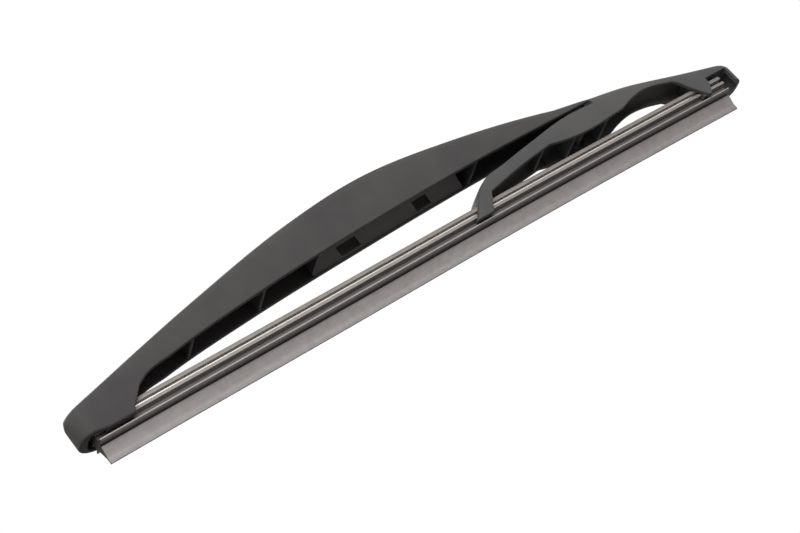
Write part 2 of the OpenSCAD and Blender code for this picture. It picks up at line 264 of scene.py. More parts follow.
def make_piece(name: str, points: list[Vector], faces: list[list[int]]) -> bpy.types.Object:
    """Makes a mesh object in the scene.

    Args:
        name: Name of the object and its mesh.
        points: Corner points in the row frame.
        faces: Point numbers of each face.

    Returns:
        The new object.
    """
    mesh = bpy.data.meshes.new(name)
    mesh.from_pydata([tuple(p) for p in points], [], faces)
    mesh.update()
    piece = bpy.data.objects.new(name, mesh)
    bpy.context.scene.collection.objects.link(piece)
    work = bmesh.new()
    work.from_mesh(mesh)
    bmesh.ops.recalc_face_normals(work, faces=work.faces)
    work.to_mesh(mesh)
    work.free()
    return piece


def loft(name: str, places: list[float], rings: list[Ring]) -> bpy.types.Object:
    """Makes a closed solid through sections.

    Args:
        name: Name of the object.
        places: Places along the blade, in order.
        rings: The (y, z) points of the section at each place, as many in each.

    Returns:
        The new object.
    """
    count = len(rings[0])
    points = [row_point(x, y, z) for x, ring in zip(places, rings) for y, z in ring]
    faces = [
        [i * count + j, i * count + (j + 1) % count, (i + 1) * count + (j + 1) % count, (i + 1) * count + j]
        for i in range(len(places) - 1)
        for j in range(count)
    ]
    first = list(range(count))
    faces += [first[::-1], [(len(places) - 1) * count + j for j in first]]
    return make_piece(name, points, faces)


def prism(name: str, low: list[Vector], high: list[Vector]) -> bpy.types.Object:
    """Makes a closed solid between two outlines with as many points."""
    count = len(low)
    faces = [[j, (j + 1) % count, count + (j + 1) % count, count + j] for j in range(count)]
    faces += [list(range(count))[::-1], [count + j for j in range(count)]]
    return make_piece(name, low + high, faces)


def side_plate(name: str, outline: Ring, y_low: float, y_high: float) -> bpy.types.Object:
    """Makes a plate from an outline of (x, z) points that stands between two places across the blade."""
    return prism(name, *([row_point(x, y, z) for x, z in outline] for y in (y_low, y_high)))


def level_plate(name: str, outline: Ring, z_low: float, z_high: float) -> bpy.types.Object:
    """Makes a plate from an outline of (x, y) points that lies between two heights."""
    return prism(name, *([row_point(x, y, z) for x, y in outline] for z in (z_low, z_high)))


def brick(name: str, low: Corner, high: Corner) -> bpy.types.Object:
    """Makes a cutting block between two opposite corners."""
    outline = [(low[0], low[2]), (high[0], low[2]), (high[0], high[2]), (low[0], high[2])]
    return side_plate(name, outline, low[1], high[1])


def combine(piece: bpy.types.Object, tool: bpy.types.Object, how: Cut) -> bpy.types.Object:
    """Lets a tool act on a piece, and throws the tool away.

    Args:
        piece: The solid that stays.
        tool: The solid that acts on it.
        how: Whether the tool is removed, added or the space that is kept.

    Returns:
        The piece.
    """
    step = piece.modifiers.new("combine", "BOOLEAN")
    step.operation = how.value
    step.solver = "EXACT"
    step.object = tool
    graph = bpy.context.evaluated_depsgraph_get()
    made = bpy.data.meshes.new_from_object(piece.evaluated_get(graph))
    old = piece.data
    name = old.name
    piece.modifiers.clear()
    piece.data = made
    bpy.data.meshes.remove(old)
    made.name = name
    bpy.data.objects.remove(tool)
    return piece


def smooth(piece: bpy.types.Object, angle: float = 32.0) -> None:
    """Shades a piece smoothly, apart from edges sharper than an angle in degrees."""
    for face in piece.data.polygons:
        face.use_smooth = True
    piece.data.set_sharp_from_angle(angle=math.radians(angle))


# How far a channel wall leans in per millimetre of height, and how far its back is crowned
WALL_DRAFT = 0.015
BACK_CROWN = 0.35


def channel_outside(half: float, low: float, top: float, corner: float, rim: float = 0.35) -> Ring:
    """Returns the outside of a channel: near rim, near wall, back and far wall.

    Args:
        half: Half of its width at the rim.
        low: Height of the rim.
        top: Height of the back's long edges.
        corner: Radius of those edges.
        rim: Radius of the rim's edges.

    Returns:
        The ring's (y, z) points, always the same number of them.
    """
    rim = min(rim, (top - low) / 4)
    radius = max(min(corner, half - 0.8, top - low - rim - 0.1), 0.05)
    flat = half - WALL_DRAFT * (top - low) - radius
    near = quarter((-half + rim, low + rim), rim, 270, 180, 4)
    near += quarter((-flat, top - radius), radius, 180, 90, 9)
    crown = [(f * flat, top + BACK_CROWN * (1 - f * f)) for f in (-0.66, -0.33, 0.0, 0.33, 0.66)]
    return near + crown + [(-y, z) for y, z in reversed(near)]


def channel_inside(half: float, rim: float, ceiling: float, corner: float) -> Ring:
    """Returns the hollow of a channel, flared a little at the rim and open well below it.

    Args:
        half: Half of its width.
        rim: Height of the walls' rims.
        ceiling: Height of its ceiling.
        corner: Radius of the ceiling's long edges.

    Returns:
        The ring's (y, z) points, always the same number of them.
    """
    top = max(ceiling, rim + 0.6)
    radius = min(corner, half - 0.5, top - rim - 0.35)
    near = [(-half - 0.22, rim - 12), (-half - 0.22, rim), (-half, rim + 0.3)]
    near += quarter((-half + radius, top - radius), radius, 180, 90, 5)
    return near + [(-y, z) for y, z in reversed(near)]


# Finishes


def linear(hex_colour: str) -> tuple[float, float, float, float]:
    """Turns an sRGB hex colour such as #5a5a5a into linear values with full alpha."""
    parts = [int(hex_colour[i : i + 2], 16) / 255 for i in (1, 3, 5)]
    return tuple(c / 12.92 if c <= 0.04045 else ((c + 0.055) / 1.055) ** 2.4 for c in parts) + (1.0,)


def add_node(
    tree: bpy.types.NodeTree, kind: str, settings: dict | None = None, links: dict | None = None
) -> bpy.types.Node:
    """Adds a node with its settings and links.

    Args:
        tree: The node tree that takes it.
        kind: Blender's name of the node's type.
        settings: Values by property name, or by input name or number where it has no such property.
        links: Output sockets by input name or number.

    Returns:
        The new node.
    """
    node = tree.nodes.new(kind)
    for key, value in (settings or {}).items():
        if isinstance(key, str) and hasattr(node, key):
            setattr(node, key, value)
        else:
            node.inputs[key].default_value = value
    for key, socket in (links or {}).items():
        tree.links.new(socket, node.inputs[key])
    return node


def colour_stops(band: bpy.types.ColorRamp, stops: list[tuple[float, str]]) -> None:
    """Gives a colour band its places and sRGB hex colours."""
    while len(band.elements) < len(stops):
        band.elements.new(1.0)
    for element, (place, colour) in zip(band.elements, stops):
        element.position = place
        element.color = linear(colour)


def new_material(name: str) -> tuple[bpy.types.Material, bpy.types.NodeTree, bpy.types.Node]:
    """Returns a new material with its node tree and its shader."""
    material = bpy.data.materials.new(name)
    material.use_nodes = True
    tree = material.node_tree
    return material, tree, tree.nodes["Principled BSDF"]


def per_mm(size: float) -> float:
    """Returns the texture scale that gives a pattern features of a size in millimetres."""
    return 1 / (size * MM)


@dataclass(frozen=True)
class MouldedNylon:
    """Glass-filled nylon from a spark-eroded steel mould: a fine even grain and slow clouds in the black.

    The grain is 0.3 mm across, drawn three times as coarse as the real one so that it shows.
    """

    name: str
    shade: str
    pale: str
    grain: float = 0.3
    cloud: float = 16.0
    roughness: float = 0.6

    def make(self) -> bpy.types.Material:
        """Returns the material."""
        material, tree, shader = new_material(self.name)
        place = {"Vector": add_node(tree, "ShaderNodeTexCoord").outputs["Object"]}
        cloud_set = {"Scale": per_mm(self.cloud), "Detail": 3.0, "Roughness": 0.55}
        clouds = add_node(tree, "ShaderNodeTexNoise", cloud_set, place)
        colour = add_node(tree, "ShaderNodeValToRGB", links={"Fac": clouds.outputs["Fac"]})
        colour_stops(colour.color_ramp, [(0.32, self.shade), (0.7, self.pale)])
        grain_set = {"Scale": per_mm(self.grain), "Detail": 2.0, "Roughness": 0.6}
        grain = add_node(tree, "ShaderNodeTexNoise", grain_set, place)
        spread = {"From Min": 0.3, "From Max": 0.7}
        spread |= {"To Min": self.roughness - 0.05, "To Max": self.roughness + 0.07}
        rough = add_node(tree, "ShaderNodeMapRange", spread, {"Value": grain.outputs["Fac"]})
        relief = {"Strength": 0.4, "Distance": 0.02 * MM}
        bump = add_node(tree, "ShaderNodeBump", relief, {"Height": grain.outputs["Fac"]})
        tree.links.new(colour.outputs["Color"], shader.inputs["Base Color"])
        tree.links.new(rough.outputs["Result"], shader.inputs["Roughness"])
        tree.links.new(bump.outputs["Normal"], shader.inputs["Normal"])
        shader.inputs["IOR"].default_value = 1.53
        # The eroded grain breaks up the sheen, most of all where it is seen at a low angle
        shader.inputs["Specular IOR Level"].default_value = 0.06
        return material


@dataclass(frozen=True)
class GraphitedRubber:
    """Extruded natural rubber, chlorinated and dusted with graphite: grey, dull and faintly streaked.

    Its colour by height in the section is the rubber's grey with painted light and shade on it: a painted
    highlight on the shoulder ridge and on the lower edge of the head's top flange, and painted shade in the
    groove under the flange, on the neck, at the web under the shoulder and along the head's top edge. The
    dust lies thicker towards the left end, and the two cut ends show the black rubber. The mesh carries the
    height in the section as an attribute, which leaves out the refill's bow.
    """

    name: str
    section: str = "section_height"
    low: float = -6.4
    high: float = 6.4
    # Colour by height: painted highlights on the shoulder ridge (-0.3 to -0.1) and the top flange's lower
    # edge (4.3), painted shade at the web (-1.05 to -0.75), on the neck (0.6 to 1.6), in the groove (2.05)
    # and at the top edge (5.2)
    heights_grey_and_painted_light: tuple[tuple[float, str], ...] = (
        (-6.4, "#a49e9b"),
        (-5.0, "#b1abaa"),
        (-1.5, "#a39d9b"),
        (-1.05, "#4c4744"),
        (-0.75, "#4c4744"),
        (-0.5, "#a09a98"),
        (-0.3, "#c8c2c0"),
        (-0.1, "#c8c2c0"),
        (0.16, "#a49e9c"),
        (0.6, "#6e6865"),
        (1.3, "#78726f"),
        (1.6, "#726c69"),
        (2.05, "#4a4542"),
        (2.25, "#b4aeaa"),
        (3.2, "#a8a29e"),
        (4.3, "#b2aca8"),
        (4.7, "#a8a29e"),
        (5.2, "#9a9490"),
    )
    streak: float = 0.5
    mottle: float = 2.5
    bare: str = "#3a3735"

    def make(self) -> bpy.types.Material:
        """Returns the material."""
        material, tree, shader = new_material(self.name)
        height = add_node(tree, "ShaderNodeAttribute", {"attribute_name": self.section}).outputs["Fac"]
        whole = {"From Min": self.low, "From Max": self.high}
        share = add_node(tree, "ShaderNodeMapRange", whole, {"Value": height})
        # The colours by height hold the painted highlights and painted shade of the section
        heights_grey_and_painted_light = add_node(tree, "ShaderNodeValToRGB", links={"Fac": share.outputs["Result"]})
        span = self.high - self.low
        colour_stops(heights_grey_and_painted_light.color_ramp, [((z - self.low) / span, colour) for z, colour in self.heights_grey_and_painted_light])
        point = add_node(tree, "ShaderNodeTexCoord")
        place = point.outputs["Object"]
        drawn = add_node(tree, "ShaderNodeMapping", {"Scale": (0.03, 1.0, 1.0)}, {"Vector": place})
        streak_set = {"Scale": per_mm(self.streak), "Detail": 3.0, "Roughness": 0.6}
        streaks = add_node(tree, "ShaderNodeTexNoise", streak_set, {"Vector": drawn.outputs["Vector"]})
        mottle_set = {"Scale": per_mm(self.mottle), "Detail": 4.0, "Roughness": 0.6}
        mottle = add_node(tree, "ShaderNodeTexNoise", mottle_set, {"Vector": place})
        weigh = {"operation": "MULTIPLY_ADD"}
        along = add_node(tree, "ShaderNodeSeparateXYZ", links={"Vector": place}).outputs["X"]
        base = add_node(tree, "ShaderNodeMath", weigh | {1: -0.9, 2: 0.12}, {0: along})
        first = {0: streaks.outputs["Fac"], 2: base.outputs[0]}
        fine = add_node(tree, "ShaderNodeMath", weigh | {1: 0.25}, first)
        second = {0: mottle.outputs["Fac"], 2: fine.outputs[0]}
        dust = add_node(tree, "ShaderNodeMath", weigh | {1: 0.5}, second)
        tone = add_node(tree, "ShaderNodeValToRGB", links={"Fac": dust.outputs[0]})
        colour_stops(tone.color_ramp, [(0.3, "#d6d4d3"), (0.7, "#ffffff")])
        # Painted light and shade by height, multiplied by the dust tone
        times = {"data_type": "RGBA", "blend_type": "MULTIPLY", 0: 1.0}
        layers = {6: heights_grey_and_painted_light.outputs["Color"], 7: tone.outputs["Color"]}
        dust_and_painted_light = add_node(tree, "ShaderNodeMix", times, layers)
        facing = add_node(tree, "ShaderNodeSeparateXYZ", links={"Vector": point.outputs["Normal"]})
        turned = add_node(tree, "ShaderNodeMath", {"operation": "ABSOLUTE"}, {0: facing.outputs["X"]})
        square = {"From Min": 0.8, "From Max": 0.9}
        cut = add_node(tree, "ShaderNodeMapRange", square, {"Value": turned.outputs[0]})
        ends = {"data_type": "RGBA", 7: linear(self.bare)}
        colour = add_node(tree, "ShaderNodeMix", ends, {0: cut.outputs["Result"], 6: dust_and_painted_light.outputs[2]})
        relief = {"Strength": 0.15, "Distance": 0.015 * MM}
        bump = add_node(tree, "ShaderNodeBump", relief, {"Height": streaks.outputs["Fac"]})
        tree.links.new(colour.outputs[2], shader.inputs["Base Color"])
        tree.links.new(bump.outputs["Normal"], shader.inputs["Normal"])
        shader.inputs["Roughness"].default_value = 0.7
        shader.inputs["IOR"].default_value = 1.52
        shader.inputs["Specular IOR Level"].default_value = 0.3
        return material


@dataclass(frozen=True)
class RolledSteel:
    """Cold-rolled spring steel strip: bright, with fine rolling lines along its length."""

    name: str
    bright: str = "#f0eae3"
    dull: str = "#d6d0c9"
    line: float = 0.12

    def make(self) -> bpy.types.Material:
        """Returns the material."""
        material, tree, shader = new_material(self.name)
        place = add_node(tree, "ShaderNodeTexCoord").outputs["Object"]
        drawn = add_node(tree, "ShaderNodeMapping", {"Scale": (0.01, 1.0, 1.0)}, {"Vector": place})
        line_set = {"Scale": per_mm(self.line), "Detail": 2.0}
        lines = add_node(tree, "ShaderNodeTexNoise", line_set, {"Vector": drawn.outputs["Vector"]})
        colour = add_node(tree, "ShaderNodeValToRGB", links={"Fac": lines.outputs["Fac"]})
        colour_stops(colour.color_ramp, [(0.3, self.dull), (0.7, self.bright)])
        rough = add_node(
            tree, "ShaderNodeMapRange", {"To Min": 0.24, "To Max": 0.42}, {"Value": lines.outputs["Fac"]}
        )
        tree.links.new(colour.outputs["Color"], shader.inputs["Base Color"])
        tree.links.new(rough.outputs["Result"], shader.inputs["Roughness"])
        shader.inputs["Metallic"].default_value = 1.0
        return material


YOKE_NYLON = MouldedNylon("yoke_moulded_nylon", shade="#4e4c4c", pale="#575554")
LEVER_NYLON = MouldedNylon("lever_moulded_nylon", shade="#5b5a5a", pale="#636261")
REFILL_RUBBER = GraphitedRubber("graphited_rubber")
STRIP_STEEL = RolledSteel("rolled_strip_steel")


def dress(piece: bpy.types.Object, material: bpy.types.Material, slot: str, *nodes: str) -> None:
    """Gives a piece its finish and hides the CAD nodes that it stands for.

    Args:
        piece: The finished piece.
        material: Its material.
        slot: Name of a material slot; not used.
        nodes: The CAD nodes that it stands for.
    """
    piece.data.materials.clear()
    piece.data.materials.append(material)
    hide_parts(*nodes)
    LOG.info("%s: %d faces", piece.name, len(piece.data.polygons))


# Pieces


@dataclass(frozen=True)
class Refill:
    """The rubber refill and the two steel strips in its sides."""

    length: float = 250.0
    # The free refill stands highest under the lever's inner arm
    bow: SmoothLine = SmoothLine(
        (
            (0, 0.0),
            (20, 0.2),
            (50, 0.33),
            (80, 0.48),
            (110, 0.72),
            (135, 0.92),
            (160, 0.97),
            (185, 0.9),
            (210, 0.74),
            (230, 0.54),
            (250, 0.3),
        )
    )
    head_half: float = 4.15
    head_top: float = 5.51
    slot_high: float = 4.26
    slot_low: float = 3.2
    strip_recess: float = 0.9
    strip_width: float = 2.1
    strip_play: float = 0.03
    strip_setback: float = 6.8
    flange_low: float = 2.2
    neck_half: float = 2.3
    lip_tip: float = -6.4
    # The middle of each claw grip, between which the refill bends when the lever rocks
    grips: Pair = (13.0, 139.4)

    def rise(self, x: float) -> float:
        """Returns the refill's free bow at place x."""
        return self.bow.at(x)

    def _slot_floor(self) -> float:
        """Returns how far the slots' floors lie from the middle."""
        return self.head_half - self.strip_recess - self.strip_width - self.strip_play

    def _half_section(self) -> Ring:
        """Returns the far half of the rubber's section, from the top down to the wiping edge."""
        h, floor = self.head_half, self._slot_floor()
        return soften(
            [
                (0.0, self.head_top, 0),
                (h, self.head_top, 0.3),
                (h, self.slot_high, 0.12),
                (floor, self.slot_high, 0),
                (floor, self.slot_low, 0),
                (h, self.slot_low, 0.12),
                (h, self.flange_low, 0.2),
                (self.neck_half, self.flange_low, 0.15),
                (self.neck_half, 0.45, 0.35),
                (h, 0.16, 0.14),
                (h, -0.26, 0.16),
                (2.5, -0.6, 0.6),
                (0.5, -0.84, 0.25),
                (0.5, -1.05, 0),
                (1.6, -1.05, 0.12),
                (1.6, -1.45, 0.25),
                (0.96, -3.0, 2.0),
                (0.36, -4.55, 3.0),
                (0.325, self.lip_tip, 0),
            ],
            4,
        )

    def rubber(self) -> bpy.types.Object:
        """Returns the extruded rubber, with the height in its section kept at each point."""
        half = self._half_section()
        ring = [(-y, z) for y, z in reversed(half[1:])] + half
        places = steps(0.0, self.length, 150)
        piece = loft("refill_rubber", places, [[(y, z + self.rise(x)) for y, z in ring] for x in places])
        heights = piece.data.attributes.new(REFILL_RUBBER.section, "FLOAT", "POINT")
        heights.data.foreach_set("value", [z for _ in places for _, z in ring])
        return piece

    def strip(self, side: Side) -> bpy.types.Object:
        """Returns the steel strip of one side."""
        near = self._slot_floor() + self.strip_play
        far = near + self.strip_width
        low, high = self.slot_low + self.strip_play, self.slot_high - self.strip_play
        outline = [
            (near, lerp(low, high, 0.5), 0),
            (near, low, 0.1),
            (far, low, 0.4),
            (far, high, 0.4),
            (near, high, 0.1),
            (near, lerp(low, high, 0.55), 0),
        ]
        ring = soften(outline, 3)
        places = steps(self.strip_setback, self.length - self.strip_setback, 120)
        rings = [[(side.value * y, z + self.rise(x)) for y, z in ring] for x in places]
        return loft(f"strip_{side.name.lower()}", places, rings)

    def build(self) -> None:
        """Makes, dresses and places the refill's pieces."""
        steel = STRIP_STEEL.make()
        rubber = self.rubber()
        smooth(rubber)
        dress(rubber, REFILL_RUBBER.make(), "rubber", "rubber")
        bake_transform(rubber)
        for side in Side:
            strip = self.strip(side)
            smooth(strip)
            dress(strip, steel, "flexor_steel", f"flexor_{side.name.lower()}")
            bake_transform(strip)


REFILL = Refill()
CLAW_GAP = 0.3
ROOM_HALF = REFILL.head_half + CLAW_GAP
ROOF_LOW = REFILL.head_top + CLAW_GAP
CLAW_SEAT = 0.25
CLAW_THICKNESS = 1.05
CLAW_TOP = REFILL.flange_low - CLAW_SEAT
CLAW_BOTTOM = CLAW_TOP - CLAW_THICKNESS
WALL_ROOT = 0.5
RIB_HALF = 0.6


def claw_lips(start: float, end: float, wall_face: float) -> list[bpy.types.Object]:
    """Makes the two turned-in lips that hold the refill under its lower flange.

    Args:
        start: Place of the lips' left end.
        end: Place of their right end.
        wall_face: Inner face of the walls that carry them.

    Returns:
        The near and the far lip.
    """
    rise = REFILL.rise((start + end) / 2)
    reach = REFILL.neck_half + CLAW_GAP
    root = wall_face + 0.6
    profile = soften(
        [
            (root, CLAW_BOTTOM, 0),
            (reach, CLAW_BOTTOM, 0.35),
            (reach, CLAW_TOP, 0.12),
            (root, CLAW_TOP, 0),
        ],
        3,
    )
    rings = [[(side.value * y, z + rise) for y, z in profile] for side in Side]
    return [loft(f"lip_{i}", [start, end], [ring, ring]) for i, ring in enumerate(rings)]


def cross_rib(x: float, half: float, low: float, ceiling: float) -> bpy.types.Object:
    """Makes a rib across a channel, rounded at its free edge and let into both walls and the back.

    Args:
        x: Place of the rib.
        half: Half of the channel's inner width.
        low: Height of the channel's rim.
        ceiling: Height of the channel's ceiling.

    Returns:
        The rib.
    """
    low, high = low + 0.3, ceiling + 0.4
    left, right = x - RIB_HALF, x + RIB_HALF
    profile = soften([(left, high, 0), (left, low, 0.3), (right, low, 0.3), (right, high, 0)], 3)
    return side_plate("rib", profile, -half - WALL_ROOT, half + WALL_ROOT)


def cross_pin(name: str, x: float, z: float, radius: float, reach: float) -> bpy.types.Object:
    """Makes a round pin across a channel.

    Args:
        name: Name of the pin.
        x: Place of its middle along the blade.
        z: Height of its middle.
        radius: Its radius.
        reach: Half of its length.

    Returns:
        The pin.
    """
    circle = quarter((x, z), radius, 0, 360 * (PIN_SIDES - 1) / PIN_SIDES, PIN_SIDES - 1)
    return side_plate(name, circle, -reach, reach)


@dataclass(frozen=True)
class MainYoke:
    """The arched channel with its end cap, ribs, arm pocket and pivot ears: one moulding."""

    cap_end: float = -4.8
    cap_inside: float = -2.2
    cap_length: float = 12.4
    cap_corner: float = 5.3
    cap_inside_corner: float = 3.2
    cap_top_corner: float = 2.0
    leg_top: float = 18.3
    tip: float = 200.4
    wall: float = 1.6
    # Radius of the rims at the end cap and past it, and how far the one runs into the other
    rims: Pair = (0.8, 0.35)
    rim_run: float = 4.0
    back_radius: float = 3.5
    rib_places: tuple[float, ...] = (40.0, 67.4, 153.06)
    pocket_left: float = 92.0
    pocket_right: float = 138.0
    pocket_half: float = 4.6
    pocket_corner: float = 3.0
    pocket_floor: float = 1.9
    # Heights that lie clear of the channel, for the plans that cut the pocket and its block
    pocket_reach: Pair = (5.0, 45.0)
    pocket_side_top: float = 42.0
    block_reach: Pair = (5.0, 40.0)
    block_half: float = 7.2
    block_corner: float = 4.0
    block_left: float = 88.0
    block_right: float = 151.4
    block_slant: float = 8.4
    window_sides: tuple[Pair, ...] = ((97.6, 105.3), (128.4, 134.4))
    window_half: float = 4.4
    window_lean: float = 2.5
    window_reach: Pair = (10.0, 21.0)
    pin_radius: float = 2.5
    ear_radius: float = 3.35
    ear_bore: float = 2.05
    # Half of the angle at which the ears open downwards, in degrees
    ear_mouth: float = 55.0
    ear_faces: Pair = (3.75, 5.55)
    back: SmoothLine = SmoothLine(
        ((-4.8, 11.2), (50, 23.91), (85, 30.5), (117, 33.3), (150.36, 30.1), (184.39, 23.74), (200.4, 19.5))
    )
    low: SmoothLine = SmoothLine(
        ((18.3, 7.8), (21.2, 9.3), (31.3, 11.0), (67, 14.7), (108, 17.1), (150.36, 18.6), (200.4, 18.8))
    )
    chin: SmoothLine = SmoothLine(((-4.8, 1.3), (-0.3, 0.8), (4.0, 0.0)))
    width: SmoothLine = SmoothLine(((-4.8, 6.2), (30, 6.9), (92, 8.2), (137, 8.2), (200.4, 7.5)))

    def top_at(self, x: float) -> float:
        """Returns the height of the back at place x."""
        return self.back.at(x) - drawn_in(x - self.cap_end, self.cap_top_corner)

    def half_at(self, x: float) -> float:
        """Returns half of the width at place x."""
        return self.width.at(x) - drawn_in(x - self.cap_end, self.cap_corner)

    def leg_edge(self) -> BentEdge:
        """Returns the lower edge at the end cap's leg."""
        foot = (self.cap_length, CLAW_BOTTOM, 0.35)
        ankle = (self.cap_length + 0.8, CLAW_BOTTOM + 1.6, 0.5)
        knee = (self.leg_top, self.low.at(self.leg_top), 1.0)
        return BentEdge(((4.0, CLAW_BOTTOM, 0), foot, ankle, knee, (21.0, self.low.at(21.0), 0)))

    def low_at(self, x: float) -> float:
        """Returns the height of the lower edge at place x."""
        if x < 4:
            return CLAW_BOTTOM + self.chin.at(x)
        return self.leg_edge().at(x) if x < 21 else self.low.at(x)

    def _shell(self) -> bpy.types.Object:
        """Returns the channel with its closed left end."""
        leg = [x for x, _ in self.leg_edge().points(5)]
        places = nose_steps(self.cap_end, self.cap_corner, 18) + [2.0] + leg
        places += steps(22.0, self.tip - 0.6, 110) + [self.tip - 0.25, self.tip]
        rings = []
        for x in places:
            half = self.half_at(x) - 0.25 * max(0.0, x - self.tip + 0.35)
            rim = lerp(*self.rims, min(max((x - self.cap_length) / self.rim_run, 0.0), 1.0))
            rings.append(channel_outside(half, self.low_at(x), self.top_at(x), self.back_radius, rim))
        shell = loft("yoke_shell", places, rings)
        hollow = nose_steps(self.cap_inside, self.cap_inside_corner, 12) + leg
        hollow += steps(22.0, self.tip + 1, 90)
        rings = []
        for x in hollow:
            half = self.width.at(x) - self.wall - drawn_in(x - self.cap_inside, self.cap_inside_corner)
            rings.append(channel_inside(half, self.low_at(x), self.back.at(x) - self.wall, 1.9))
        return combine(shell, loft("yoke_hollow", hollow, rings), Cut.REMOVE)

    def _pocket_block(self) -> bpy.types.Object:
        """Returns the solid that fills the channel round the arm pocket."""
        left, right, r = self.block_left, self.block_right, self.block_corner
        outline = [(x, self.low_at(x) + 0.4) for x in steps(left, right, 24)]
        outline += [(x, self.top_at(x) - self.wall + 0.5) for x in steps(right, left, 24)]
        block = side_plate("pocket_block", outline, -self.block_half, self.block_half)
        plan = [(right - self.block_slant, -self.block_half), (right, self.block_half)]
        plan += quarter((left + r, self.block_half - r), r, 90, 180, 8)
        plan += quarter((left + r, r - self.block_half), r, 180, 270, 8)
        return combine(block, level_plate("pocket_plan", plan, *self.block_reach), Cut.KEEP)

    def _pocket_space(self) -> bpy.types.Object:
        """Returns the space inside the arm pocket, open through the back."""
        left, right = self.pocket_left, self.pocket_right
        plan = round_plan(left, right, self.pocket_half, self.pocket_corner, 8)
        outline = [(x, self.low_at(x) + self.pocket_floor) for x in steps(left - 2, right + 2, 24)]
        outline += [(right + 2, self.pocket_side_top), (left - 2, self.pocket_side_top)]
        space = level_plate("pocket_space", plan, *self.pocket_reach)
        return combine(space, side_plate("pocket_side", outline, -8, 8), Cut.KEEP)

    def _windows(self) -> list[bpy.types.Object]:
        """Returns the two windows in the pocket's floor, which lean as the block's right end does."""
        half, lean = self.window_half, self.window_lean
        windows = []
        for left, right in self.window_sides:
            plan = [(left - lean, -half), (right - lean, -half), (right + lean, half), (left + lean, half)]
            windows.append(level_plate("window", plan, *self.window_reach))
        return windows

    def _ears(self) -> list[bpy.types.Object]:
        """Returns the two ears that snap over the lever's pin."""
        px, pz, outer, mouth = PIVOT_X, PIVOT_Z, self.ear_radius, self.ear_mouth
        ceiling = self.top_at(px) - self.wall + 0.5
        ring = [(px - outer, ceiling)]
        ring += quarter((px, pz), outer, 180, 270 - mouth / 2.4, 10)
        ring += quarter((px, pz), self.ear_bore, 270 - mouth, mouth - 90, 30)
        ring += quarter((px, pz), outer, 270 + mouth / 2.4, 360, 10)
        ring += [(px + outer, ceiling)]
        inner, outside = self.ear_faces
        return [side_plate("near_ear", ring, -outside, -inner), side_plate("far_ear", ring, inner, outside)]

    def _cap_roof(self, half: float) -> bpy.types.Object:
        """Returns the roof over the refill's head in the end cap, narrower in the nose."""
        nose, root = self.cap_inside - 0.8, half + WALL_ROOT
        ends = [(nose, -2.2), (-0.6, -root), (self.cap_length, -root)]
        plan = ends + [(x, -y) for x, y in reversed(ends)]
        return level_plate("cap_roof", plan, ROOF_LOW, ROOF_LOW + 1.3)

    def build(self) -> None:
        """Makes, dresses and places the yoke."""
        piece = combine(self._shell(), self._pocket_block(), Cut.ADD)
        combine(piece, self._pocket_space(), Cut.REMOVE)
        for window in self._windows():
            combine(piece, window, Cut.REMOVE)
        pin = cross_pin("arm_pin", ARM_PIN_X, ARM_PIN_Z, self.pin_radius, self.pocket_half + 0.6)
        inner = self.width.at(0) - self.wall
        added = [pin, self._cap_roof(inner), *self._ears()]
        for x in self.rib_places:
            half, ceiling = self.width.at(x) - self.wall, self.top_at(x) - self.wall
            added.append(cross_rib(x, half, self.low_at(x), ceiling))
        for part in added + claw_lips(3.0, self.cap_length - 0.4, inner):
            combine(piece, part, Cut.ADD)
        piece.name = piece.data.name = "yoke_moulding"
        smooth(piece)
        dress(piece, YOKE_NYLON.make(), "yoke_plastic", "main_yoke")
        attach(piece, YOKE)


